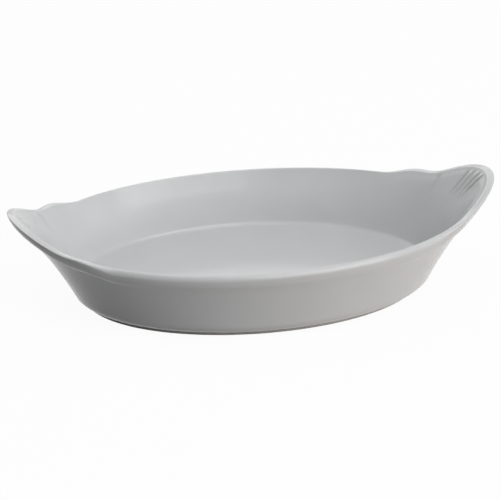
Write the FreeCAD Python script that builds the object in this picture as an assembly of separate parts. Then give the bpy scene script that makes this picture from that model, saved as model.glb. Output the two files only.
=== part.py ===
import FreeCAD, Part
import math
import os

# An oval gratin dish with a shell-shaped ear at each end, fired in one piece and glazed all over
# but the foot. It stands on the foot ring, centred on the origin, with its length along X and Z up.
# Sizes are in mm.

# Rim and wall
rim_half_length = 150.0
rim_half_width = 90.0
rim_height = 48.8
end_overhang = 30.0
side_overhang = 10.5
wall_hollow = 1.2
wall_thickness = 4.4
lip_bulge = 0.7
lip_height = 7.8
lip_step = 4.0
edge_depth = 14.0
edge_knee_share = 0.85
arris_height = 1.0
side_arris_share = 0.25
side_round_height = 3.2
side_cut_back = 1.5

# Floor and foot
floor_top = 11.5
cove_radius = 3.5
corner_radius = 6.5
flat_margin = 1.5
foot_height = 3.5
foot_width = 6.0
foot_draft = 0.6
foot_round = 0.8
foot_setback = 0.6

# Glaze
glaze_thickness = 0.4

# Ears: reach is measured up the ear's slope from the rim, lobes are placed by angle around the oval,
# and the ear is seated on the wall some way below the rim
ear_reach = 26.1
ear_slope_degrees = 47.5
main_lobe_spread_degrees = 31.6
main_lobe_power = 1.58
side_lobe_reach = 6.2
side_lobe_centre_degrees = 28.6
side_lobe_spread_degrees = 14.4
ear_start_margin_degrees = 0.5
ear_seat_drop = 12.8

# Edge of the ears: trimmed nearly level, with a tight arris inside and a lip cut back to a steep side
ear_arris_share = 0.15
ear_round_height = 2.2
ear_cut_back = 0.2
bead_outside = 1.3
ear_bevel = 5.8
bevel_start = 3.4
inner_flare = 0.9
flare_depth = 7.0

# Flutes: fine grooves inside the main lobe, and a crease below each notch beside it
flute_top_degrees = (-1.9, 1.0, 4.3, 7.3)
flute_foot_degrees = (0.3, 2.8, 5.8, 8.4)
flute_radius = 1.3
flute_top = 6.5
flute_bottom = 28.0
flute_top_depth = 0.6
flute_bottom_depth = -0.1
crease_angle_degrees = 19.5
crease_radius = 1.8
crease_top = 3.0
crease_bottom = 27.0
crease_top_depth = 0.7
crease_bottom_depth = -0.3

# How finely the skin is laid out: columns around the oval, and rows up each stretch of the section
columns = 180
crowding_share = 0.4
face_stop_shares = (0.07, 0.14, 0.19, 0.25, 0.31, 0.36, 0.43)
face_level_shares = (0.36, 0.62)
bend_steps = 6
wall_steps = 5
edge_steps = 5
lip_steps = 4
crest_steps = 10
degree = 3

up = FreeCAD.Vector(0, 0, 1)
crest_round = (wall_thickness + lip_bulge) / 2
overrun = rim_half_length


def wall_line(angle, height):
    """Point on the outer line of the wall, its outward direction, and its lean out per mm of rise."""
    drop_share = 1 - height / rim_height
    hollow = wall_hollow * math.sin(math.pi * min(max(drop_share, 0), 1))
    half_length = rim_half_length - end_overhang * drop_share - hollow
    half_width = rim_half_width - side_overhang * drop_share - hollow
    point = FreeCAD.Vector(half_length * math.cos(angle), half_width * math.sin(angle), height)
    outward = FreeCAD.Vector(half_width * math.cos(angle), half_length * math.sin(angle), 0).normalize()
    overhang = FreeCAD.Vector(end_overhang * math.cos(angle), side_overhang * math.sin(angle), 0)
    return point, outward, overhang.dot(outward) / rim_height


def wall_face(angle, height, depth):
    """Point at a depth into the wall, square to its outer line at one height."""
    point, outward, lean = wall_line(angle, height)
    return point - (outward - up * lean).normalize() * depth


def bend(angle, level, radius, depth, turn_share):
    """Point on the round between a flat (turn share 0) and the wall at some depth (turn share 1)."""
    line, outward, lean = wall_line(angle, level + radius)
    centre = line - outward * ((depth + radius) * math.hypot(1, lean))
    turn = turn_share * math.atan2(1, lean)
    return centre + outward * (radius * math.sin(turn)) - up * (radius * math.cos(turn))


def ear_lift(angle):
    """How far the crest stands beyond the rim: a rounded main lobe joined to a lower lobe on each side."""
    off = abs(math.degrees(math.asin(math.sin(angle))))
    main_share = math.cos(math.pi / 2 * min(off / main_lobe_spread_degrees, 1)) ** main_lobe_power
    side_place = abs(off - side_lobe_centre_degrees) / side_lobe_spread_degrees
    side_share = math.cos(math.pi / 2 * min(side_place, 1)) ** 2
    return math.hypot(ear_reach * main_share, side_lobe_reach * side_share)


def ear_share(angle):
    """How much of an ear the edge is: 0 along the sides, and near 1 on the main lobe."""
    lift = ear_lift(angle)
    return lift / (lift + bevel_start)


def edge_frame(angle):
    """Start, knee and tip of the curve that carries the wall up to the crest, and its outward direction."""
    start, outward, lean = wall_line(angle, rim_height - edge_depth)
    rim, outward, lean = wall_line(angle, rim_height)
    slope = math.radians(ear_slope_degrees)
    tip = rim + (outward * math.cos(slope) + up * math.sin(slope)) * ear_lift(angle)
    knee = start + (rim - start) * edge_knee_share
    return start, knee, tip, outward


def edge_length(angle):
    start, knee, tip, outward = edge_frame(angle)
    return (knee - start).Length + (tip - knee).Length


def edge_point(angle, below, depth):
    """Point some way below the crest and into the wall, with the outward normal."""
    start, knee, tip, outward = edge_frame(angle)
    lower = (knee - start).Length
    upper = (tip - knee).Length
    back_share = below / (upper + math.sqrt(max(upper ** 2 - (upper - lower) * below, 0)))
    fore_share = 1 - back_share
    point = start * back_share ** 2 + knee * (2 * back_share * fore_share) + tip * fore_share ** 2
    climb = ((knee - start) * back_share + (tip - knee) * fore_share).normalize()
    normal = (outward * climb.z - up * climb.dot(outward)).normalize()
    return point - normal * depth, normal


def steps(count, first=0):
    """Even shares from 0 to 1, leaving out those before the first."""
    return [step / count for step in range(first, count + 1)]


def between(low, high, share):
    return low + (high - low) * share


def wall_stretch(angle, level, radius, depth):
    """Flat margin, round corner and wall face, from the flat up to where the edge curve starts."""
    landing = bend(angle, level, radius, depth, 0)
    line, outward, lean = wall_line(angle, level + radius)
    points = [landing - outward * flat_margin]
    points += [bend(angle, level, radius, depth, share) for share in steps(bend_steps)]
    foot_line = points[-1].z - depth * lean / math.hypot(1, lean)
    top_line = rim_height - edge_depth
    for share in steps(wall_steps, 1):
        points.append(wall_face(angle, between(foot_line, top_line, share), depth))
    return points


def crest_shape(angle):
    """Heights of the crest's inner and outer rounds, how much lower its inner side lies than its outer
    one, and the share of the thickness that the inner round takes."""
    share = ear_share(angle)
    roll = between(side_round_height, ear_round_height, share)
    return arris_height, roll, ear_bevel * share, between(side_arris_share, ear_arris_share, share)


def lip_depth(angle, below):
    """Depth of the lip's outer side: cut back at the crest, and out to a bead at its foot on the ears."""
    share = ear_share(angle)
    cut = between(side_cut_back, ear_cut_back, share)
    return between(-bead_outside * share, cut, (1 - below / lip_height) ** 2)


def crest_point(angle, inset, turn_share):
    """Point on the two quarter ellipses over the edge, from the outer face to the inner one."""
    arris, roll, bevel, arris_share = crest_shape(angle)
    across = math.cos(math.pi * turn_share)
    side_share = 1 - arris_share if across > 0 else arris_share
    tall = roll if across > 0 else arris
    inward_share = 1 - arris_share - across * side_share
    below = tall - (tall - inset) * math.sin(math.pi * turn_share) + bevel * (inward_share - 1 / 2)
    outer = inset + lip_depth(angle, below)
    inner = 2 * crest_round - inset - inner_flare * ear_share(angle)
    return edge_point(angle, below, between(outer, inner, inward_share))[0]


def crest_foot(angle):
    """How far below the crest the inner face ends."""
    arris, roll, bevel, arris_share = crest_shape(angle)
    return arris + bevel / 2


def inner_depth(angle, below):
    """Depth of the inner face, which flares outwards towards the crest of an ear."""
    share = min(max((below - crest_foot(angle)) / flare_depth, 0), 1)
    flare = inner_flare * ear_share(angle) * (1 + math.cos(math.pi * share)) / 2
    return lip_bulge + wall_thickness - flare


def section(angle, inset):
    """Section of the dish at one angle, from under the floor over the crest to the floor inside."""
    outer = lip_bulge + inset
    points = wall_stretch(angle, foot_height + inset, corner_radius - inset, outer)
    whole = edge_length(angle)
    lip_foot = lip_height + lip_step
    lip = inset + lip_depth(angle, lip_height)
    arris, roll, bevel, arris_share = crest_shape(angle)
    for share in steps(edge_steps, 1):
        points.append(edge_point(angle, between(whole, lip_foot, share), outer)[0])
    for share in steps(lip_steps, 1):
        bulge_share = (1 - math.cos(math.pi * share)) / 2
        points.append(edge_point(angle, lip_foot - lip_step * share, between(outer, lip, bulge_share))[0])
    lip_middle = between(lip_height, roll - bevel / 2, 1 / 2)
    points.append(edge_point(angle, lip_middle, inset + lip_depth(angle, lip_middle))[0])
    points += [crest_point(angle, inset, share) for share in steps(crest_steps)]
    for share in steps(edge_steps + lip_steps, 1)[:-1]:
        below = between(crest_foot(angle), whole, share)
        points.append(edge_point(angle, below, inner_depth(angle, below) - inset)[0])
    inner = lip_bulge + wall_thickness - inset
    inside = wall_stretch(angle, floor_top - inset, cove_radius + inset, inner)
    return points + inside[::-1]


def column_angle(place_share):
    """Angle of a column, with columns crowded towards both ends where the ears are."""
    turn = 2 * math.pi * place_share + math.pi / 2
    return turn - crowding_share * math.sin(2 * turn) / 2


def skin(inset):
    """Faces of one smooth surface led by all the sections, in bays round the oval and up the section."""
    net = [section(column_angle(column / columns), inset) for column in range(columns)]
    rows = len(net[0])
    round_knots = list(range(columns + 1))
    section_knots = list(range(rows - degree + 1))
    round_counts = [1] * len(round_knots)
    section_counts = [degree + 1] + [1] * (len(section_knots) - 2) + [degree + 1]
    surface = Part.BSplineSurface()
    surface.buildFromPolesMultsKnots(
        net, round_counts, section_counts, round_knots, section_knots, True, False, degree, degree)
    half_stops = [0] + [round(columns * share) for share in face_stop_shares]
    stops = half_stops + [columns // 2 + stop for stop in half_stops] + [columns]
    levels = [0] + [round(section_knots[-1] * share) for share in face_level_shares] + [section_knots[-1]]
    faces = []
    for first, last in zip(stops, stops[1:]):
        for low, high in zip(levels, levels[1:]):
            patch = surface.copy()
            patch.segment(first, last, low, high)
            faces.append(patch.toShape())
    return faces


def groove(top_angle, foot_angle, radius, top, bottom, top_depth, bottom_depth, inset):
    """Round bar laid in the inner face of the ear, sunk to one depth at its top and another below."""
    ends = []
    for angle, below, sunk in ((top_angle, top, top_depth), (foot_angle, bottom, bottom_depth)):
        along = min(below, edge_length(angle))
        point, normal = edge_point(angle, along, inner_depth(angle, along))
        ends.append(point - normal * (radius - sunk))
    axis = ends[1] - ends[0]
    return Part.makeCylinder(radius + inset, axis.Length, ends[0], axis)


def grooves(inset):
    bars = []
    for end_turn in (0, math.pi):
        for top_degrees, foot_degrees in zip(flute_top_degrees, flute_foot_degrees):
            top_angle = end_turn + math.radians(top_degrees)
            foot_angle = end_turn + math.radians(foot_degrees)
            bars.append(groove(top_angle, foot_angle, flute_radius, flute_top, flute_bottom,
                               flute_top_depth, flute_bottom_depth, inset))
        for side in (-1, 1):
            angle = end_turn + math.radians(side * crease_angle_degrees)
            bars.append(groove(angle, angle, crease_radius, crease_top, crease_bottom,
                               crease_top_depth, crease_bottom_depth, inset))
    return bars


def flat(faces, level):
    """Flat face that closes the open edges lying at one level."""
    edges = [edge for face in faces for edge in face.Edges if level_edge(edge, level)]
    return Part.Face(Part.Wire(Part.__sortEdges__(edges)))


def level_edge(edge, level):
    return all(abs(vertex.Z - level) < glaze_thickness / 2 for vertex in edge.Vertexes)


def dish(inset):
    """The whole dish without its foot, with every face set in by the same amount."""
    faces = skin(inset)
    shell = Part.makeShell(faces + [flat(faces, foot_height + inset), flat(faces, floor_top - inset)])
    shell.sewShape()
    return Part.Solid(shell).cut(grooves(inset))


def oval_plate(setback, low, high, draft):
    """Oval plate set back from the edge of the flat under the floor, narrowing downwards by the draft."""
    wires = []
    for height, narrowing in ((low, draft), (high, 0)):
        end = bend(0, foot_height, corner_radius, lip_bulge, 0).x - setback - narrowing
        side = bend(math.pi / 2, foot_height, corner_radius, lip_bulge, 0).y - setback - narrowing
        curve = Part.Ellipse(FreeCAD.Vector(0, 0, height), end, side)
        wires.append(Part.Wire([curve.toShape()]))
    return Part.makeLoft(wires, True, True)


def foot():
    """Ring under the floor that carries the dish, through the glaze up to the clay."""
    top = foot_height + glaze_thickness
    hole = oval_plate(foot_setback + foot_width, 0, top, -foot_draft)
    ring = oval_plate(foot_setback, 0, top, foot_draft).cut(hole)
    standing = [edge for edge in ring.Edges if abs(edge.BoundBox.ZMax) < foot_round]
    return ring.makeFillet(foot_round, standing)


def ear_room(side):
    """Block around the wall above the seat of one ear."""
    start = math.radians(side_lobe_centre_degrees + side_lobe_spread_degrees + ear_start_margin_degrees)
    near = rim_half_length * math.cos(start)
    corner = FreeCAD.Vector(near if side > 0 else -near - overrun, -overrun, rim_height - ear_seat_drop)
    return Part.makeBox(overrun, overrun * 2, overrun, corner)


clay = dish(glaze_thickness)
foot_ring = foot()
left_room = ear_room(-1)
right_room = ear_room(1)
coats = dish(0).cut([clay, foot_ring]).Solids
coats.sort(key=lambda coat: coat.BoundBox.ZMax)

nodes = {
    "clay_pan": clay.cut([left_room, right_room]),
    "left_ear": clay.common(left_room),
    "right_ear": clay.common(right_room),
    "foot_ring": foot_ring,
    "glaze_coat": coats[-1],
    "underside_glaze": coats[0],
}

os.makedirs("parts", exist_ok=True)
for name, shape in nodes.items():
    solid = shape.Solids[0]
    solid.exportStep("parts/" + name + ".step")
    box = solid.BoundBox
    print(name, len(shape.Solids), solid.isValid(), round(solid.Volume), [round(v, 2) for v in (
        box.XMin, box.XMax, box.YMin, box.YMax, box.ZMin, box.ZMax)])
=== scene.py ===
# %% [markdown]
# # A glazed oval gratin dish
# The real dish is one shell of fired clay, with a shell-shaped ear at each end, dipped in a pale grey
# glaze that covers everything but the ring it stands on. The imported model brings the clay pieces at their
# real size, so they are loaded first and never moved. What this lesson adds is what the eye meets: the
# coat of glaze, the bare foot, their finishes, a pale floor, soft light and the camera.

import bpy
import numpy as np
from mathutils import Matrix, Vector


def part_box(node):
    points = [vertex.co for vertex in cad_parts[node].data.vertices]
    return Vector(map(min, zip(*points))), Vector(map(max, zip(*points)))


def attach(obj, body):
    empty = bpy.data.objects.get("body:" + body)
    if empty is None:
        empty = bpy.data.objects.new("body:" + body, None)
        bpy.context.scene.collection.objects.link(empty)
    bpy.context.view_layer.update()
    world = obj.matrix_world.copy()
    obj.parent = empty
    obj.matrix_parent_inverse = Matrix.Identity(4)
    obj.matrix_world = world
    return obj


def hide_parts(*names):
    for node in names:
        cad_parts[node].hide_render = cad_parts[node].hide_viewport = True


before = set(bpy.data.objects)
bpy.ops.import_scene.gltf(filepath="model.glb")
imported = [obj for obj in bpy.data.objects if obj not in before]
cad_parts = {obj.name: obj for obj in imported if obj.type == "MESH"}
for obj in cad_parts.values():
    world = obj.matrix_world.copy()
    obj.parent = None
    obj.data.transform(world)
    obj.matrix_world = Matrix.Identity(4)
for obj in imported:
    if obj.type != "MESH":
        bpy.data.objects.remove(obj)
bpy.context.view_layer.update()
print("nodes:", ", ".join(sorted(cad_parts)))

# %% [markdown]
# ## The wall as a formula
# Every level of the wall is an ellipse. It is widest at the rim and shrinks evenly on the way down, more
# at the ends than at the sides, and a slight hollow keeps the wall from looking like a cone. A lattice
# with a subdivision modifier could be pushed into this shape by hand, but a formula gives every point
# exactly, so the new skin lies where the clay says. Angle 0 is the middle of the right-hand ear.

# %% Ellipses of the wall, in metres
rim_half_length = 0.150
rim_half_width = 0.090
rim_height = 0.0488
end_overhang = 0.030
side_overhang = 0.0105
wall_hollow = 0.0012
up = np.array([0.0, 0.0, 1.0])


def points(x, y, z):
    """Arrays of x, y and z joined into one array of points."""
    return np.stack(np.broadcast_arrays(x, y, z), axis=-1)


def unit(vectors):
    """Each vector divided by its own length."""
    return vectors / np.linalg.norm(vectors, axis=-1, keepdims=True)


def wall_line(angle, height):
    """The wall's outer line: at each height an ellipse whose half axes are those of the rim, less the
    overhang times the drop below the rim, less a sine-shaped hollow. Also its outward direction and how
    far it leans out for each metre of rise."""
    drop = 1 - height / rim_height
    hollow = wall_hollow * np.sin(np.pi * np.clip(drop, 0, 1))
    half_length = rim_half_length - end_overhang * drop - hollow
    half_width = rim_half_width - side_overhang * drop - hollow
    line = points(half_length * np.cos(angle), half_width * np.sin(angle), height)
    outward = unit(points(half_width * np.cos(angle), half_length * np.sin(angle), 0 * angle))
    overhang = points(end_overhang * np.cos(angle), side_overhang * np.sin(angle), 0 * angle)
    lean = (overhang * outward).sum(axis=-1, keepdims=True) / rim_height
    return line, outward, lean


def bend(angle, level, radius, depth, share):
    """Round between a flat and the wall: a circle that leaves the flat at share 0 and turns upwards until
    it meets the leaning wall face, some depth inside the outer line, at share 1."""
    line, outward, lean = wall_line(angle, level + radius)
    centre = line - outward * ((depth + radius) * np.hypot(1, lean))
    turn = share[..., None] * np.arctan2(1, lean)
    return centre + outward * (radius * np.sin(turn)) - up * (radius * np.cos(turn))


print("rim, mm:", [round(2000 * half) for half in (rim_half_length, rim_half_width)])

# %% [markdown]
# ## The edge and the ears
# Near the rim the wall follows a quadratic curve that starts on the wall and ends at the crest. Around
# most of the oval the crest is the rim itself. At the two ends it is lifted up a slope: one broad lobe
# in the middle and one low lobe on each side of it, which is the shell shape of the ears. Taking the
# larger of the lobes would leave a sharp notch between them, so they are joined like the two short sides
# of a right triangle, which rounds the notch.

# %% Lobes of the ears and the curve up to the crest
edge_depth = 0.014
edge_knee_share = 0.85
ear_reach = 0.0261
ear_slope = np.radians(47.5)
main_lobe_spread = np.radians(31.6)
main_lobe_power = 1.58
side_lobe_reach = 0.0062
side_lobe_centre = np.radians(28.6)
side_lobe_spread = np.radians(14.4)


def ear_lift(angle):
    """How far the crest stands beyond the rim: a power of a cosine for the main lobe and the square of one
    for the side lobes, joined by the root of the sum of their squares."""
    off = np.abs(np.arcsin(np.sin(angle)))
    main = ear_reach * np.cos(np.pi / 2 * np.minimum(off / main_lobe_spread, 1)) ** main_lobe_power
    place = np.abs(off - side_lobe_centre) / side_lobe_spread
    side = side_lobe_reach * np.cos(np.pi / 2 * np.minimum(place, 1)) ** 2
    return np.hypot(main, side)


def edge_curve(angle):
    """Start, knee and tip of the quadratic curve from the wall to the crest, its two legs' lengths, and
    the outward direction."""
    start, outward, lean = wall_line(angle, rim_height - edge_depth + 0 * angle)
    rim, outward, lean = wall_line(angle, rim_height + 0 * angle)
    slope = outward * np.cos(ear_slope) + up * np.sin(ear_slope)
    tip = rim + slope * ear_lift(angle)[..., None]
    knee = start + (rim - start) * edge_knee_share
    lower, upper = (np.linalg.norm(leg, axis=-1) for leg in (knee - start, tip - knee))
    return start, knee, tip, lower, upper, outward


def edge_point(angle, below, depth):
    """Point some way below the crest along the quadratic curve and some depth into the wall. The share of
    the curve left above the point solves the quadratic for the way travelled, so rows stay evenly spaced."""
    start, knee, tip, lower, upper, outward = edge_curve(angle)
    root = np.sqrt(np.maximum(upper ** 2 - (upper - lower) * below, 0))
    back = (below / (upper + root))[..., None]
    fore = 1 - back
    middle = start * back ** 2 + knee * (2 * back * fore) + tip * fore ** 2
    climb = unit((knee - start) * back + (tip - knee) * fore)
    normal = unit(outward * climb[..., 2:] - up * (climb * outward).sum(axis=-1, keepdims=True))
    return middle - normal * np.broadcast_to(depth, below.shape)[..., None]


lobe_angles = np.radians([0.0, 15.0, 19.0, 27.0])
print("crest above the rim at lobes and notch, mm:", np.round(1000 * ear_lift(lobe_angles), 1).tolist())

# %% [markdown]
# ## Flutes pressed inside the ears
# Four fine, slanting flutes run down the inner face of each main lobe, on the half that lies to the left
# when one faces that end from the middle, and one crease below each notch beside it.
# On the real dish the mould presses them into the clay and the glaze softens them. They are cut into the
# geometry and not only drawn with a bump, so that they catch the light from any side: across, each one is
# a bell curve, and along the face it sinks in below the crest and fades out on the way down.

# %% Depth of the flutes and creases
flute_tops = np.radians([-1.9, 1.0, 4.3, 7.3])
flute_feet = np.radians([0.3, 2.8, 5.8, 8.4])
flute_depth = 0.00100
flute_half_width = 0.00080
flute_rise = (0.0045, 0.0085)
flute_fade = (0.0140, 0.0340)
flute_length = 0.0280
crease_angles = np.radians([-19.5, 19.5])
crease_depth = 0.00080
crease_half_width = 0.00110
crease_rise = (0.0035, 0.0070)
crease_fade = (0.0090, 0.0270)


def ease(low, high, value):
    """Smooth step: 0 below the low value, 1 above the high one, and three squares less two cubes of the
    share between them."""
    share = np.clip((value - low) / (high - low), 0, 1)
    return share ** 2 * (3 - 2 * share)


def groove_depth(angle, below, places, depth, half_width, rise, fade):
    """Depth of a row of grooves: along the face an easing in and an easing out, and across it the sum of
    one bell curve for each groove, exp of minus the square of the offset in half widths."""
    along = ease(*rise, below) * (1 - ease(*fade, below))
    turn = np.angle(np.exp(2j * angle))[..., None] / 2 - places
    across = np.exp(-(turn * rim_half_width / half_width) ** 2).sum(axis=-1)
    return depth * along * across


def flutes(angle, below):
    """Flutes and creases together, at both ends of the dish."""
    way = np.clip(below / flute_length, 0, 1)[..., None]
    places = flute_tops + (flute_feet - flute_tops) * way
    fine = groove_depth(angle, below, places, flute_depth, flute_half_width, flute_rise, flute_fade)
    side = groove_depth(angle, below, crease_angles, crease_depth, crease_half_width,
                        crease_rise, crease_fade)
    return fine + side


print("flutes:", 2 * len(flute_tops), "and creases:", 2 * len(crease_angles))

# %% [markdown]
# ## One section, from the middle of the floor to the foot
# Cut the dish at any angle and the same story is told: flat floor, cove, wall, fluted edge, round crest,
# lip band, a soft step under it, wall again, a rounded corner and the flat under the floor. Each stretch
# is one block of the grid: shares down the rows, angles along the columns. The same function gives the
# outside of the glaze and, set in by the glaze's thickness, the side that grips the clay. Molten glaze
# draws back from an edge, so the coat is a little thinner over the crest and the lip.

# %% Blocks of the section
wall_thickness = 0.0044
lip_bulge = 0.0007
lip_height = 0.0078
lip_step = 0.0040
arris_height = 0.0010
side_arris_share = 0.25
side_round_height = 0.0032
side_cut_back = 0.0015
ear_arris_share = 0.15
ear_round_height = 0.0022
ear_cut_back = 0.0002
bead_outside = 0.0013
ear_bevel = 0.0058
bevel_start = 0.0034
inner_flare = 0.0009
flare_depth = 0.0070
floor_top = 0.0115
cove_radius = 0.0035
foot_height = 0.0035
corner_radius = 0.0065
crest_round = (wall_thickness + lip_bulge) / 2
crest_thinning = 0.00022
lip_thinning = 0.00015


def rows(count):
    """Shares from just above 0 up to 1, one for each row of a block, as a column."""
    return (np.arange(1, count + 1) / count)[:, None]


def between(low, high, share):
    """Value that lies a share of the way from the low one to the high one."""
    return low + (high - low) * share


def wall_face(angle, level, radius, depth, share):
    """Wall between the end of a bend, at share 0, and the start of the edge curve, at share 1, set back
    square to the outer line by the depth."""
    lean = wall_line(angle, level + radius + 0 * angle)[2]
    bend_top = bend(angle, level, radius, depth, 1 + 0 * angle)[..., 2:]
    foot_line = (bend_top - depth * lean / np.hypot(1, lean))[..., 0]
    line, outward, lean = wall_line(angle, between(foot_line, rim_height - edge_depth, share))
    return line - unit(outward - up * lean) * depth


def ear_share(angle):
    """How much of an ear the edge is: 0 along the sides, and near 1 on the main lobe."""
    lift = ear_lift(angle)
    return lift / (lift + bevel_start)


def lip_depth(angle, below):
    """Depth of the lip's outer side: cut back at the crest, swelling as a parabola down to the lip's foot,
    where at the ears it stands a little beyond the edge curve, and all of it thinned as the crest is."""
    share = ear_share(angle)
    cut = between(side_cut_back, ear_cut_back, share)
    return lip_thinning + between(-bead_outside * share, cut, (1 - below / lip_height) ** 2)


def crest_shape(angle):
    """Heights of the crest's inner and outer rounds, how much lower the inner side is than the outer one,
    and the share of the thickness that the inner round takes. The inner round is a tight arris and the
    outer one is broad. At the ears the edge is also bevelled, as if trimmed nearly level."""
    share = ear_share(angle)
    roll = between(side_round_height, ear_round_height, share)
    return arris_height, roll, ear_bevel * share, between(side_arris_share, ear_arris_share, share)


def crest(angle, inset, share):
    """Two quarter ellipses over the edge, from the inner face at share 0 to the outer face at share 1,
    sheared by the bevel: the drop grows evenly from the outer face to the inner one."""
    arris, roll, bevel, arris_share = crest_shape(angle)
    across, along = np.cos(np.pi * share), np.sin(np.pi * share)
    inside = across > 0
    inward = 1 - arris_share + across * np.where(inside, arris_share, 1 - arris_share)
    tall = np.where(inside, arris, roll)
    below = tall - (tall - crest_thinning - inset) * along + bevel * (inward - 1 / 2)
    outer = inset + lip_depth(angle, below)
    inner = 2 * crest_round - inset - inner_flare * ear_share(angle)
    return edge_point(angle, below, between(outer, inner, inward))


def section(angle, inset, counts):
    """Blocks of the skin in order, each an array of rows by columns of points. The counts say how many
    rows each block gets."""
    share = {name: rows(count) + 0 * angle for name, count in counts.items()}
    outer = lip_bulge + inset
    inner = lip_bulge + wall_thickness - inset
    floor_bend = (floor_top - inset, cove_radius + inset, inner)
    under_bend = (foot_height + inset, corner_radius - inset, outer)
    lower, upper = edge_curve(angle)[3:5]
    lip_foot = lip_height + lip_step
    floor_line = bend(angle, *floor_bend, 0 * angle)
    arris, roll, bevel, arris_share = crest_shape(angle)
    inner_foot = arris + bevel / 2
    below_inside = between(lower + upper, inner_foot, share["inner_edge"])
    flare = ear_share(angle) * (1 - ease(inner_foot, inner_foot + flare_depth, below_inside))
    depth_inside = inner - inner_flare * flare - flutes(angle, below_inside)
    lip = inset + lip_depth(angle, lip_height)
    below_lip = between(roll - bevel / 2, lip_height, share["lip_band"])
    below_outside = between(lip_foot, lower + upper, share["outer_edge"])
    below_step = between(lip_height, lip_foot, share["lip_step"])
    step_in = (1 - np.cos(np.pi * share["lip_step"])) / 2
    return {
        "floor": floor_line * points(share["floor"], share["floor"], 1),
        "cove": bend(angle, *floor_bend, share["cove"]),
        "inner_wall": wall_face(angle, *floor_bend, share["inner_wall"]),
        "inner_edge": edge_point(angle, below_inside, depth_inside),
        "crest": crest(angle, inset, share["crest"]),
        "lip_band": edge_point(angle, below_lip, inset + lip_depth(angle, below_lip)),
        "lip_step": edge_point(angle, below_step, between(lip, outer, step_in)),
        "outer_edge": edge_point(angle, below_outside, outer),
        "outer_wall": wall_face(angle, *under_bend, 1 - share["outer_wall"]),
        "corner": bend(angle, *under_bend, 1 - share["corner"]),
    }


# %% [markdown]
# ## Where the glaze stops
# Under the floor the glaze reaches the foot and stops a little way down its side, in a line that is never
# quite even, because the foot is wiped clean with a sponge before firing. The glaze meets the clay there
# in a small hollow round, as any liquid does. A quadratic curve from the flat to the side of the foot
# gives that round, and a few sines around the oval make its lower edge waver.

# %% The glaze line on the foot
foot_low, foot_high = (np.array(corner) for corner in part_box("foot_ring"))
foot_draft = 0.0006
glaze_thickness = foot_high[2] - foot_height
glaze_run = 0.0006
run_waves = ((5, 0.6, 0.30), (11, 2.1, 0.22), (23, 4.0, 0.12))


def foot_side(angle, inset, height):
    """Oval line on the foot: the ellipse of its box, drawn in evenly by the draft towards the bottom and
    set in by some amount."""
    narrow = inset + foot_draft * (1 - height / foot_high[2])
    half_length, half_width = foot_high[0] - narrow, foot_high[1] - narrow
    return points(half_length * np.cos(angle), half_width * np.sin(angle), height)


def glaze_line(angle, landing, count):
    """Quadratic curve from the flat under the floor, past the corner at the foot, to the glaze's lower
    edge, followed by one row that goes back up between glaze and foot."""
    waver = sum(size * np.sin(number * angle + start) for number, start, size in run_waves)
    corner = foot_side(angle, 0, foot_height + 0 * angle)
    end = foot_side(angle, 0, foot_height - glaze_run * (1 + waver))
    share = (rows(count) + 0 * angle)[..., None]
    curve = landing * (1 - share) ** 2 + corner * (2 * share * (1 - share)) + end * share ** 2
    seat = foot_side(angle, 0, foot_high[2] + 0 * angle)
    return np.concatenate([curve, seat[None]])


print("glaze thickness, mm:", round(1000 * glaze_thickness, 2))

# %% [markdown]
# ## The coat of glaze as one closed skin
# The coat is a closed sheet: its outside runs from the middle of the floor over the crest to the foot, and
# its inside runs back against the clay. The columns are crowded towards the ears, where the lobes and
# flutes need them, by taking a sine of twice the turn away from the turn. Only the outside needs many rows.

# %% Grid of the coat
columns = 480
crowding = 0.75
outside_rows = {"floor": 10, "cove": 12, "inner_wall": 12, "inner_edge": 44, "crest": 16, "lip_band": 5,
                "lip_step": 7, "outer_edge": 8, "outer_wall": 12, "corner": 12}
inside_rows = {"floor": 1, "cove": 3, "inner_wall": 2, "inner_edge": 14, "crest": 6, "lip_band": 2,
               "lip_step": 2, "outer_edge": 3, "outer_wall": 2, "corner": 3}
glaze_line_rows = 5

turn = 2 * np.pi * np.arange(columns) / columns
angle = turn - crowding * np.sin(2 * turn) / 2
outside = section(angle, 0, outside_rows)
outside["glaze_line"] = glaze_line(angle, outside["corner"][-1], glaze_line_rows)
inside = np.concatenate(list(section(angle, glaze_thickness, inside_rows).values()))[::-1]
coat_grid = np.concatenate(list(outside.values()) + [inside])
coat_poles = np.array([[0, 0, floor_top], [0, 0, floor_top - glaze_thickness]])
print("coat grid:", coat_grid.shape, "highest, mm:", round(1000 * coat_grid[..., 2].max(), 2))

# %% [markdown]
# ## From grid to mesh
# A grid that closes on itself needs its faces listed only once: each point joins the next row and the
# next column, and the last column joins the first. Where a sheet starts and ends in a single point, a fan
# of triangles closes it. All the indices come from one array of numbers, shifted by a row or a column.

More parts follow.
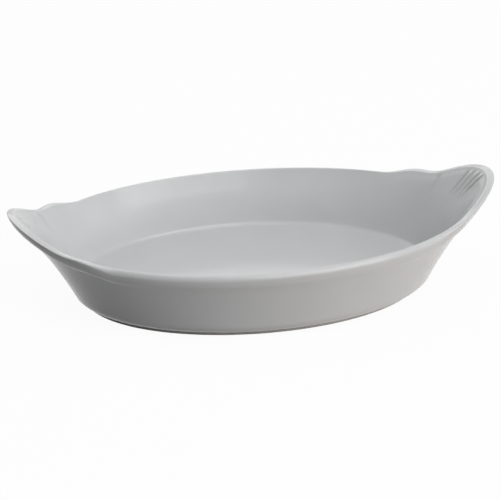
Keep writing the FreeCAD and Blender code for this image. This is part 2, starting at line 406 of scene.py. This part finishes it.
# %% Closed mesh from a grid
def closed_mesh(name, grid, poles=()):
    """Object at the origin whose mesh has the grid's points, quads between neighbouring rows and columns,
    and, with two poles, a fan of triangles at each end. Without poles the last row joins the first."""
    count, around = grid.shape[:2]
    number = np.arange(count * around).reshape(count, around)
    beside = np.roll(number, -1, axis=1)
    last = count - 1 if len(poles) else count
    next_row, next_beside = np.roll(number, -1, axis=0), np.roll(beside, -1, axis=0)
    quads = np.stack([number, next_row, next_beside, beside], axis=-1)[:last].reshape(-1, 4)
    faces = quads.tolist()
    if len(poles):
        start, end = count * around + np.arange(2)[:, None] + 0 * number[0]
        faces += np.stack([start, number[0], beside[0]], axis=-1).tolist()
        faces += np.stack([end, beside[-1], number[-1]], axis=-1).tolist()
    spots = np.concatenate([grid.reshape(-1, 3)] + ([poles] if len(poles) else []))
    mesh = bpy.data.meshes.new(name)
    mesh.from_pydata(spots.tolist(), [], faces)
    mesh.polygons.foreach_set("use_smooth", np.ones(len(faces), dtype=bool))
    mesh.update()
    made = bpy.data.objects.new(name, mesh)
    bpy.context.scene.collection.objects.link(made)
    print(name, "points:", len(spots), "faces:", len(faces))
    return made


coat = closed_mesh("glazed_coat", coat_grid, coat_poles)
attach(coat, "root")
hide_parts("glaze_coat")

# %% [markdown]
# ## Where the glaze is thin and where it pools, with painted highlight and shade
# Molten glaze draws back from every edge and gathers in every hollow, so a glazed piece is never one even
# shade. The finish can only show that if the mesh says where it is, so two numbers are kept on each point:
# one that is high on the crest's inner edge and slight on the lip's step, and one that is full in the cove,
# the flutes and the round at the foot. The first also paints a highlight along the crest's inner edge and the
# lip's step, and the second also paints shade into the cove and the flutes.

# %% Thin and pooled glaze as attributes
def mark(made, name, marks):
    """One number for each point of the coat: 0, or what the marks say for the rows of a block. The side
    against the clay and the poles have 0."""
    parts = [marks.get(block, 0) + np.zeros(grid.shape[:2]) for block, grid in outside.items()]
    values = np.zeros(len(made.data.vertices))
    marked = np.concatenate(parts).ravel()
    values[:marked.size] = marked
    made.data.attributes.new(name, "FLOAT", "POINT").data.foreach_set("value", values.astype(np.float32))
    print(name, "reaches", round(values.max(), 2), "on", int((values > 0.05).sum()), "points")


arris_turn = 0.30
arris_spread = 0.10
lower, upper = edge_curve(angle)[3:5]
arris, roll, bevel, arris_share = crest_shape(angle)
edge_below = between(lower + upper, arris + bevel / 2, rows(outside_rows["inner_edge"]))
# The thin-glaze number lightens the glaze on the crest's inner edge and the lip's step: partly thinner glaze,
# partly a painted highlight.
mark(coat, "thin_glaze_and_highlight", {"crest": np.exp(-((rows(outside_rows["crest"]) - arris_turn) / arris_spread) ** 2),
                          "lip_step": 0.3 * np.sin(np.pi * rows(outside_rows["lip_step"]))})
# The pooled-glaze number deepens the glaze in the cove, the flutes and the round at the foot: partly pooled
# glaze, partly painted shade in those hollows.
mark(coat, "pooled_glaze_and_shade", {"cove": np.sin(np.pi * rows(outside_rows["cove"])),
                            "inner_edge": flutes(angle, edge_below) / flute_depth,
                            "glaze_line": 1})

# %% [markdown]
# ## The bare foot
# The dish stands on an oval ring of bare clay. Its sides lean in a little towards the bottom and its two
# lower edges are rounded, so it is a small profile carried round an oval: down the outer side, round,
# across the standing face, round, and up the inner side. The clay is not turned but pressed and fired, so
# its sides waver by a few hundredths of a millimetre, which keeps its edge from looking machined.

# %% Foot ring
foot_width = 0.006
foot_round = 0.0008
round_rows = 6
foot_waves = ((9, 1.3, 0.00002), (31, 0.4, 0.00002), (57, 2.6, 0.00001))


def foot_profile():
    """Set-in and height along the profile: a straight side leaning in by the draft, a quarter circle, the
    flat, another quarter circle and the other side."""
    arc = np.linspace(0, np.pi / 2, round_rows)
    round_in = foot_round * (1 - np.cos(arc))
    round_up = foot_round * (1 - np.sin(arc))
    set_in = np.concatenate([[0, 0], round_in])
    height = np.concatenate([[foot_high[2], foot_high[2] / 2], round_up])
    lean = foot_draft * (1 - height / foot_high[2])
    around = np.concatenate([set_in + lean, (foot_width - set_in - lean)[::-1]])
    return around, np.concatenate([height, height[::-1]])


set_in, height = foot_profile()
waver = sum(size * np.sin(number * angle + start) for number, start, size in foot_waves)
half_length = foot_high[0] - set_in[:, None] - waver
half_width = foot_high[1] - set_in[:, None] - waver
foot_grid = points(half_length * np.cos(angle), half_width * np.sin(angle), height[:, None])
foot = closed_mesh("bare_foot", foot_grid)
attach(foot, "root")
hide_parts("foot_ring")

# %% [markdown]
# ## Shader maths in plain Python
# A finish is a small sum of patterns, and a sum reads best as a sum. This class wraps one socket of a
# node tree: adding, taking away or multiplying wrapped sockets adds the Math nodes that do it. Everything
# else, from noise to the shader itself, is made by one method that takes the node's type, its settings,
# and what goes into its sockets.

# %% A socket that can be calculated with
class Wire:
    """One output socket in a node tree, or the tree itself when no socket is given."""

    def __init__(self, tree, socket=None):
        self.tree = tree
        self.socket = socket

    def node(self, kind, settings=(), sockets=(), output=0):
        """New node of one kind: settings first, then a value or a link for each named socket."""
        made = self.tree.nodes.new(kind)
        for name, value in dict(settings).items():
            setattr(made, name, value)
        for name, value in dict(sockets).items():
            if isinstance(value, Wire):
                self.tree.links.new(value.socket, made.inputs[name])
            else:
                made.inputs[name].default_value = value
        return Wire(self.tree, made.outputs[output] if len(made.outputs) else None)

    def math(self, operation, first, second):
        return self.node("ShaderNodeMath", {"operation": operation}, {0: first, 1: second})

    def __add__(self, other):
        return self.math("ADD", self, other)

    def __radd__(self, other):
        return self.math("ADD", other, self)

    def __sub__(self, other):
        return self.math("SUBTRACT", self, other)

    def __rsub__(self, other):
        return self.math("SUBTRACT", other, self)

    def __mul__(self, other):
        return self.math("MULTIPLY", self, other)

    def __rmul__(self, other):
        return self.math("MULTIPLY", other, self)

    def blend(self, first, second):
        """Colour between two colours, with this socket as the share of the second."""
        colours = {0: self, 6: first, 7: second}
        return self.node("ShaderNodeMix", {"data_type": "RGBA"}, colours, output=2)

    def noise(self, scale, detail, roughness=0.5):
        """Soft noise between 0 and 1 over the place that this socket gives, in lumps of one over scale."""
        sockets = {"Vector": self, "Scale": scale, "Detail": detail, "Roughness": roughness}
        return self.node("ShaderNodeTexNoise", {}, sockets)


def empty_tree(holder):
    """Node tree of a material or world, with its nodes cleared."""
    holder.use_nodes = True
    holder.node_tree.nodes.clear()
    return Wire(holder.node_tree)


def grey(level, warmth=0.0):
    """Colour from a display level between 0 and 1, made warmer or cooler by a small share."""
    linear = ((level + 0.055) / 1.055) ** 2.4
    return (linear * (1 + warmth), linear, linear * (1 - warmth), 1.0)


print("grey of level 0.8:", np.round(grey(0.8), 3).tolist())

# %% [markdown]
# ## The glaze
# The glaze is a pale, almost neutral grey with a satin shine. Close up it is cloudy by a percent or two,
# lighter where it is thin over an edge, with a highlight painted along the crest's inner edge, and a little
# deeper and cooler where it pools, with shade painted into the cove and the flutes. Its
# surface is glass that once flowed, so it has slow waves a few millimetres long that bend reflections, and
# a very fine peel on top. A single flat colour would be simpler, but reflections as straight as a mirror's
# give away a computer picture at once.

# %% Glaze finish
glaze_grey = grey(0.815, -0.014)
glaze_cloud = grey(0.790, -0.008)
# Lighter grey for thin glaze, which is also a painted highlight on the crest's inner edge.
glaze_thin_and_highlight = grey(0.890, -0.006)
# Deeper, cooler grey for pooled glaze, which is also painted shade in the cove and the flutes.
glaze_pool_and_shade = grey(0.735, -0.020)
cloud_scale, wave_scale, peel_scale = 38.0, 110.0, 900.0
pool_and_shade_share, thin_and_highlight_share, peel_share = 0.6, 0.7, 0.12
glaze_roughness, cloud_roughness = 0.15, 0.08
glaze_bump, wave_height = 0.35, 0.0002
glaze_ior = 1.5


def glaze_finish(name):
    """Glaze: clouds of two greys, blended by the mesh's own numbers to a lighter grey where the glaze is
    thinner and a deeper one where it gathers, which also paint a highlight along the crest's inner edge and
    shade into the cove and the flutes, with a satin roughness that follows the clouds, and waves and peel
    as bump."""
    made = bpy.data.materials.new(name)
    tree = empty_tree(made)
    place = tree.node("ShaderNodeTexCoord", output="Object")
    clouds = place.noise(cloud_scale, 3.0)
    wave = place.noise(wave_scale, 1.0)
    peel = place.noise(peel_scale, 2.0)
    thin_and_highlight = tree.node("ShaderNodeAttribute", {"attribute_name": "thin_glaze_and_highlight"}, output="Fac")
    pooled_and_shade = tree.node("ShaderNodeAttribute", {"attribute_name": "pooled_glaze_and_shade"}, output="Fac")
    colour = clouds.blend(glaze_grey, glaze_cloud)
    # Deeper grey where the glaze pools, which is also painted shade in the cove and the flutes.
    colour = (pooled_and_shade * pool_and_shade_share).blend(colour, glaze_pool_and_shade)
    # Lighter grey where the glaze is thin, which is also a painted highlight on the crest's inner edge and
    # the lip's step.
    colour = (thin_and_highlight * thin_and_highlight_share).blend(colour, glaze_thin_and_highlight)
    bump = tree.node("ShaderNodeBump", {}, {"Strength": glaze_bump, "Distance": wave_height,
                                            "Height": wave + peel * peel_share})
    shader = tree.node("ShaderNodeBsdfPrincipled", {}, {
        "Base Color": colour, "Roughness": glaze_roughness + clouds * cloud_roughness, "IOR": glaze_ior,
        "Normal": bump})
    tree.node("ShaderNodeOutputMaterial", {}, {"Surface": shader})
    return made


glaze = glaze_finish("satin_glaze")
coat.data.materials.append(glaze)
print("glaze on", coat.name)

# %% [markdown]
# ## Bare fired clay
# Where the sponge has wiped the glaze away, the clay shows: a warm off-white, quite matt, with a sandy
# grain that is felt more than seen, and darker specks of grog here and there.

# %% Clay finish
clay_pale = grey(0.80, 0.035)
clay_sand = grey(0.70, 0.050)
clay_speck = grey(0.48, 0.080)
sand_scale, grain_scale, speck_scale = 420.0, 1900.0, 1300.0
speck_start, speck_full, speck_share = 0.68, 0.76, 0.6
clay_roughness, grain_roughness = 0.78, 0.15
clay_bump, grain_height, sand_share = 0.5, 0.00012, 0.6


def clay_finish(name):
    """Clay: two sandy shades mixed by noise, sparse specks where a finer noise is near its top, a matt
    roughness, and the grain as bump."""
    made = bpy.data.materials.new(name)
    tree = empty_tree(made)
    place = tree.node("ShaderNodeTexCoord", output="Object")
    sand = place.noise(sand_scale, 4.0, 0.65)
    grain = place.noise(grain_scale, 3.0, 0.6)
    specks = tree.node("ShaderNodeMapRange", {}, {"Value": place.noise(speck_scale, 1.0),
                                                  "From Min": speck_start, "From Max": speck_full})
    colour = (specks * speck_share).blend(sand.blend(clay_pale, clay_sand), clay_speck)
    bump = tree.node("ShaderNodeBump", {}, {"Strength": clay_bump, "Distance": grain_height,
                                            "Height": grain + sand * sand_share})
    shader = tree.node("ShaderNodeBsdfPrincipled", {}, {
        "Base Color": colour, "Roughness": clay_roughness + grain * grain_roughness, "Normal": bump})
    tree.node("ShaderNodeOutputMaterial", {}, {"Surface": shader})
    return made


clay = clay_finish("bare_clay")
foot.data.materials.append(clay)

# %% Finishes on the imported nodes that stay
node_finish = {"clay_pan": clay, "left_ear": clay, "right_ear": clay, "underside_glaze": glaze}
for node, finish in node_finish.items():
    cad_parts[node].material_slots[0].material = finish
    print(node, "wears", finish.name)

# %% [markdown]
# ## A pale floor
# The dish stands on a plain white ground. To look white without pouring light over the dish, most of the
# floor's white is its own, and only for rays that look at it: from the camera, in a reflection or through
# glass. The small matt share that is left takes the lamps' light, and so keeps the shadow of the dish. For
# every other ray the floor is a matt grey on the left and a warm, paler one on the right, which throw some
# of the lamps' light back up under the walls: the photograph shows a dim left flank and a bright, warm right
# one. Seen from below the floor is clear, so that the underside can be looked at.

# %% Floor
floor_half = 8.0
floor_shadow_share = 0.05
floor_white = grey(0.97)
floor_left = grey(0.50)
floor_right = grey(0.84, 0.10)
floor_change = (-0.08, 0.10)


def looking(tree):
    """1 for rays that look at a thing, straight, in a reflection or through glass, and 0 for the rest."""
    path = {name: tree.node("ShaderNodeLightPath", output=name)
            for name in ("Is Camera Ray", "Is Glossy Ray", "Is Transmission Ray")}
    return tree.node("ShaderNodeMath", {"operation": "MINIMUM"}, {0: sum(path.values()), 1: 1.0})


def floor_finish(name):
    """Floor: for looking rays a mix of its own white and a matt white, for others two matt greys that pass
    into each other from left to right, and clear from below."""
    made = bpy.data.materials.new(name)
    tree = empty_tree(made)
    own = tree.node("ShaderNodeEmission", {}, {"Color": (1, 1, 1, 1), "Strength": 1.0})
    matt = tree.node("ShaderNodeBsdfDiffuse", {}, {"Color": floor_white})
    seen = tree.node("ShaderNodeMixShader", {}, {0: floor_shadow_share, 1: own, 2: matt})
    place = tree.node("ShaderNodeTexCoord", output="Object")
    across = tree.node("ShaderNodeSeparateXYZ", {}, {0: place})
    rightward = tree.node("ShaderNodeMapRange", {}, {"Value": across, "From Min": floor_change[0],
                                                     "From Max": floor_change[1]})
    left, right = (tree.node("ShaderNodeBsdfDiffuse", {}, {"Color": colour})
                   for colour in (floor_left, floor_right))
    thrown = tree.node("ShaderNodeMixShader", {}, {0: rightward, 1: left, 2: right})
    top = tree.node("ShaderNodeMixShader", {}, {0: looking(tree), 1: thrown, 2: seen})
    below = tree.node("ShaderNodeNewGeometry", output="Backfacing")
    clear = tree.node("ShaderNodeBsdfTransparent")
    whole = tree.node("ShaderNodeMixShader", {}, {0: below, 1: top, 2: clear})
    tree.node("ShaderNodeOutputMaterial", {}, {"Surface": whole})
    return made


corner = floor_half * np.array([[-1, -1], [1, -1], [1, 1], [-1, 1]])
floor_mesh = bpy.data.meshes.new("pale_floor")
floor_mesh.from_pydata(points(corner[:, 0], corner[:, 1], 0).tolist(), [], [(0, 1, 2, 3)])
floor = bpy.data.objects.new("pale_floor", floor_mesh)
bpy.context.scene.collection.objects.link(floor)
floor_mesh.materials.append(floor_finish("white_ground"))

# %% [markdown]
# ## Soft light from the right
# Two large soft boxes stand in front and to the right, so the inside of the left wall and the outside of the
# right wall are bright while the inside of the right wall and the outside of the left wall turn away from
# them. Two weaker ones hang high, in front and straight above, and two stand behind, so that the floor of the
# dish and the inside of the near wall are lit too. All are wide, because small lamps would leave sharp
# highlights on the crest. Each lamp's strength is given as the share of full light that it adds to a surface
# that faces it, and the power follows from the distance.

# %% Lamps
aim = np.array([0.0, 0.0, 0.03])
lamp_distance = 2.4
lamp_size = 2.0


def soft_box(name, azimuth, elevation, share):
    """Square lamp on a sphere round the dish, facing its middle. A lamp of power P lights a facing matt
    surface at distance d as P over the square of pi times d, so P is the share times that square."""
    turn, rise = np.radians([azimuth, elevation])
    back = np.array([np.sin(turn) * np.cos(rise), -np.cos(turn) * np.cos(rise), np.sin(rise)])
    lamp = bpy.data.lights.new(name, "AREA")
    lamp.size = lamp_size
    lamp.energy = share * (np.pi * lamp_distance) ** 2
    made = bpy.data.objects.new(name, lamp)
    made.matrix_world = look_from(aim + back * lamp_distance, back)
    made.visible_camera = False
    bpy.context.scene.collection.objects.link(made)
    print(name, "power, W:", round(lamp.energy, 1))


def look_from(spot, back, roll=0.0):
    """Matrix of a lamp or camera at a spot, looking against the back direction, level but for the roll:
    its columns are right, up and back."""
    right = unit(np.cross(up, back)) if abs(back[2]) < 0.999 else np.array([1.0, 0.0, 0.0])
    above = np.cross(back, right)
    turned = right * np.cos(roll) + above * np.sin(roll)
    raised = above * np.cos(roll) - right * np.sin(roll)
    whole = np.eye(4)
    whole[:3] = np.stack([turned, raised, back, spot], axis=1)
    return Matrix(whole.tolist())


soft_box("key_light", 30.0, 30.0, 0.57)
soft_box("side_light", 60.0, 30.0, 0.155)
soft_box("front_light", 0.0, 60.0, 0.11)
soft_box("top_light", 0.0, 88.0, 0.29)
soft_box("back_light", 180.0, 40.0, 0.24)
soft_box("far_left_light", 220.0, 45.0, 0.12)

# %% The room's own light
room_level = 0.01


def room_light():
    """World: an even grey for lighting, and white for rays that look at it."""
    world = bpy.data.worlds.new("white_room")
    tree = empty_tree(world)
    lit = tree.node("ShaderNodeBackground", {}, {"Color": (1, 1, 1, 1), "Strength": room_level})
    seen = tree.node("ShaderNodeBackground", {}, {"Color": (1, 1, 1, 1), "Strength": 1.0})
    both = tree.node("ShaderNodeMixShader", {}, {0: looking(tree), 1: lit, 2: seen})
    tree.node("ShaderNodeOutputWorld", {}, {"Surface": both})
    bpy.context.scene.world = world
    print("room level:", room_level)


room_light()

# %% [markdown]
# ## The camera
# The photograph was taken with a long lens from a step and a half away, a little to the left of the dish's
# middle line and a quarter of a right angle above the table. The camera was held not quite level. The
# numbers come from matching the rim, the ears and the foot of the dish to where they lie in the picture.

# %% Camera at the photograph's place
photo_pixels = 500
focal_pixels = 2593.88
middle_pixels = np.array([4.332, -2.743])
view_distance = 1.7479
view_azimuth = -16.055
view_elevation = 24.249
view_roll = 0.895
view_centre = np.array([0.0, 0.0, 0.025])


def photo_camera():
    """Camera on a sphere round the view centre. The picture's middle is off that centre by a few pixels,
    which are turned into metres at the centre's distance and moved the other way."""
    turn, rise, roll = np.radians([view_azimuth, view_elevation, view_roll])
    back = np.array([np.sin(turn) * np.cos(rise), -np.cos(turn) * np.cos(rise), np.sin(rise)])
    matrix = look_from(view_centre + back * view_distance, back, roll)
    off = -middle_pixels * view_distance / focal_pixels
    matrix.translation += matrix.col[0].xyz * off[0] + matrix.col[1].xyz * off[1]
    lens = bpy.data.cameras.new("photo_camera")
    lens.lens = focal_pixels / photo_pixels * lens.sensor_width
    made = bpy.data.objects.new("photo_camera", lens)
    made.matrix_world = matrix
    bpy.context.scene.collection.objects.link(made)
    bpy.context.scene.camera = made
    print("lens, mm:", round(lens.lens, 1))


photo_camera()
bpy.context.scene.view_settings.view_transform = "Standard"
